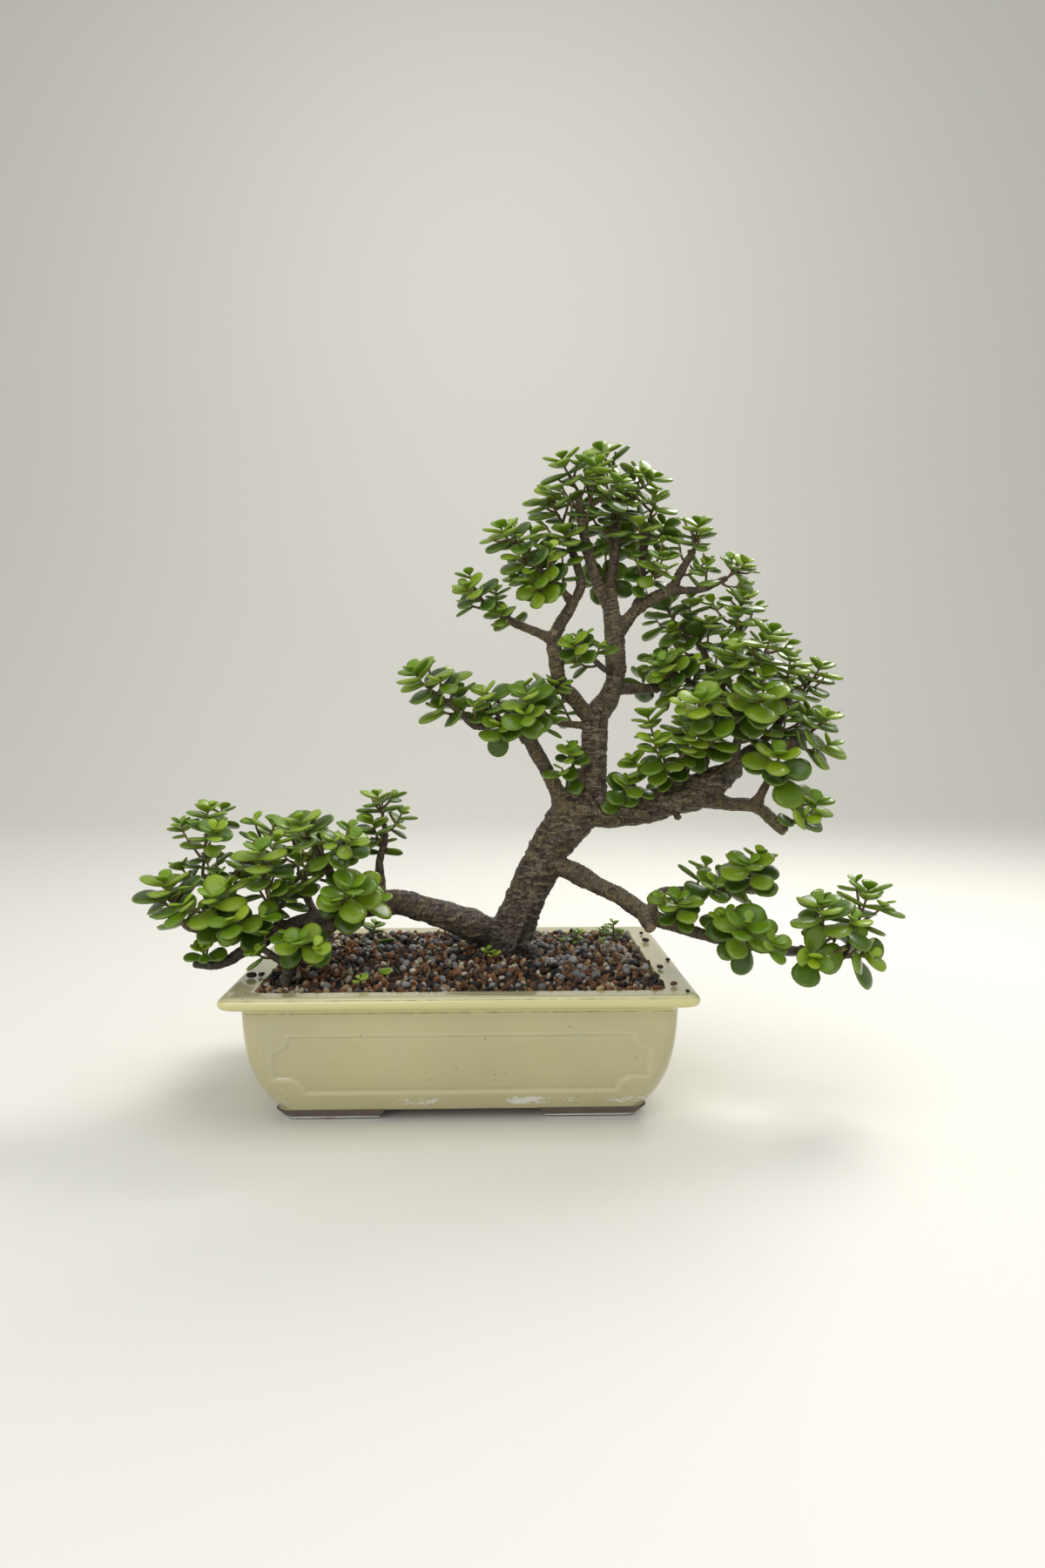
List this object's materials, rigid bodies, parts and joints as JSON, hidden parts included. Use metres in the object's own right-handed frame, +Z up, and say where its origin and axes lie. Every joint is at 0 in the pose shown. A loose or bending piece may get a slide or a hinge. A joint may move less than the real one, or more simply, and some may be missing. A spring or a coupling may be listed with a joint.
{
  "type": "bonsai tree in a pot",
  "caption": "Dwarf jade bonsai with an inclined ringed trunk, long side branches and tufts of thick round leaves, in gritty soil in a rectangular glazed pot with notched panels and feet.",
  "frame": {"origin": "middle of the bottom of the whole plant's bounding box, on the surface that the pot's feet stand on", "axes": "+X along the pot's long side, towards the heavy right limb; +Y towards the back; +Z up"},
  "size_m": [0.4024, 0.182, 0.3737],
  "materials": {
    "glaze": "gloss",
    "screen_plastic": "matte",
    "copper_wire": "satin",
    "soil_mix": "matte",
    "bark": "matte",
    "leaf": "satin"
  },
  "bodies": {
    "root": {"pot": "glaze", "drain_screen_left": "screen_plastic", "drain_screen_right": "screen_plastic", "screen_clip_left": "copper_wire", "screen_clip_right": "copper_wire", "soil": "soil_mix", "trunk_and_branches": "bark", "fallen_leaf_back": "leaf", "fallen_leaf_front": "leaf", "shoot_far_left_tall": "leaf", "shoot_far_left_end": "leaf", "shoot_far_left_front": "leaf", "shoot_far_left_stub": "leaf", "shoot_left_middle": "leaf", "shoot_left_back": "leaf", "shoot_left_twig_d": "leaf", "shoot_left_twig_a": "leaf", "shoot_left_twig_b": "leaf", "shoot_left_twig_g": "leaf", "shoot_left_rosette": "leaf", "shoot_left_inner": "leaf", "shoot_dropping": "leaf", "shoot_arm_end": "leaf", "shoot_arm_middle": "leaf", "shoot_arm_elbow": "leaf", "shoot_arm_back": "leaf", "shoot_knuckle": "leaf", "shoot_crown_cut": "leaf", "shoot_crown_front": "leaf", "shoot_crown_top": "leaf", "shoot_crown_right": "leaf", "shoot_crown_back": "leaf", "shoot_crown_inner": "leaf", "shoot_crown_left": "leaf", "shoot_crown_far_left": "leaf", "shoot_crown_low_left": "leaf", "shoot_crown_arm_end": "leaf", "shoot_crown_out": "leaf", "shoot_crown_side": "leaf", "shoot_crown_far_out": "leaf", "shoot_leader_side": "leaf", "shoot_back_low": "leaf", "shoot_top_g": "leaf", "shoot_top_e": "leaf", "shoot_top_f": "leaf", "shoot_heavy_front": "leaf", "shoot_top_b": "leaf", "shoot_top_b_front": "leaf", "shoot_top_c": "leaf", "shoot_top_c_up": "leaf", "shoot_top_h": "leaf", "shoot_top_a": "leaf", "shoot_heavy_out": "leaf", "shoot_heavy_drop": "leaf", "shoot_heavy_drop_end": "leaf", "shoot_low_right_upper": "leaf", "shoot_low_right_near": "leaf", "shoot_low_right_front": "leaf", "shoot_low_right_end": "leaf", "shoot_low_right_tall": "leaf"}
  },
  "joints": []
}
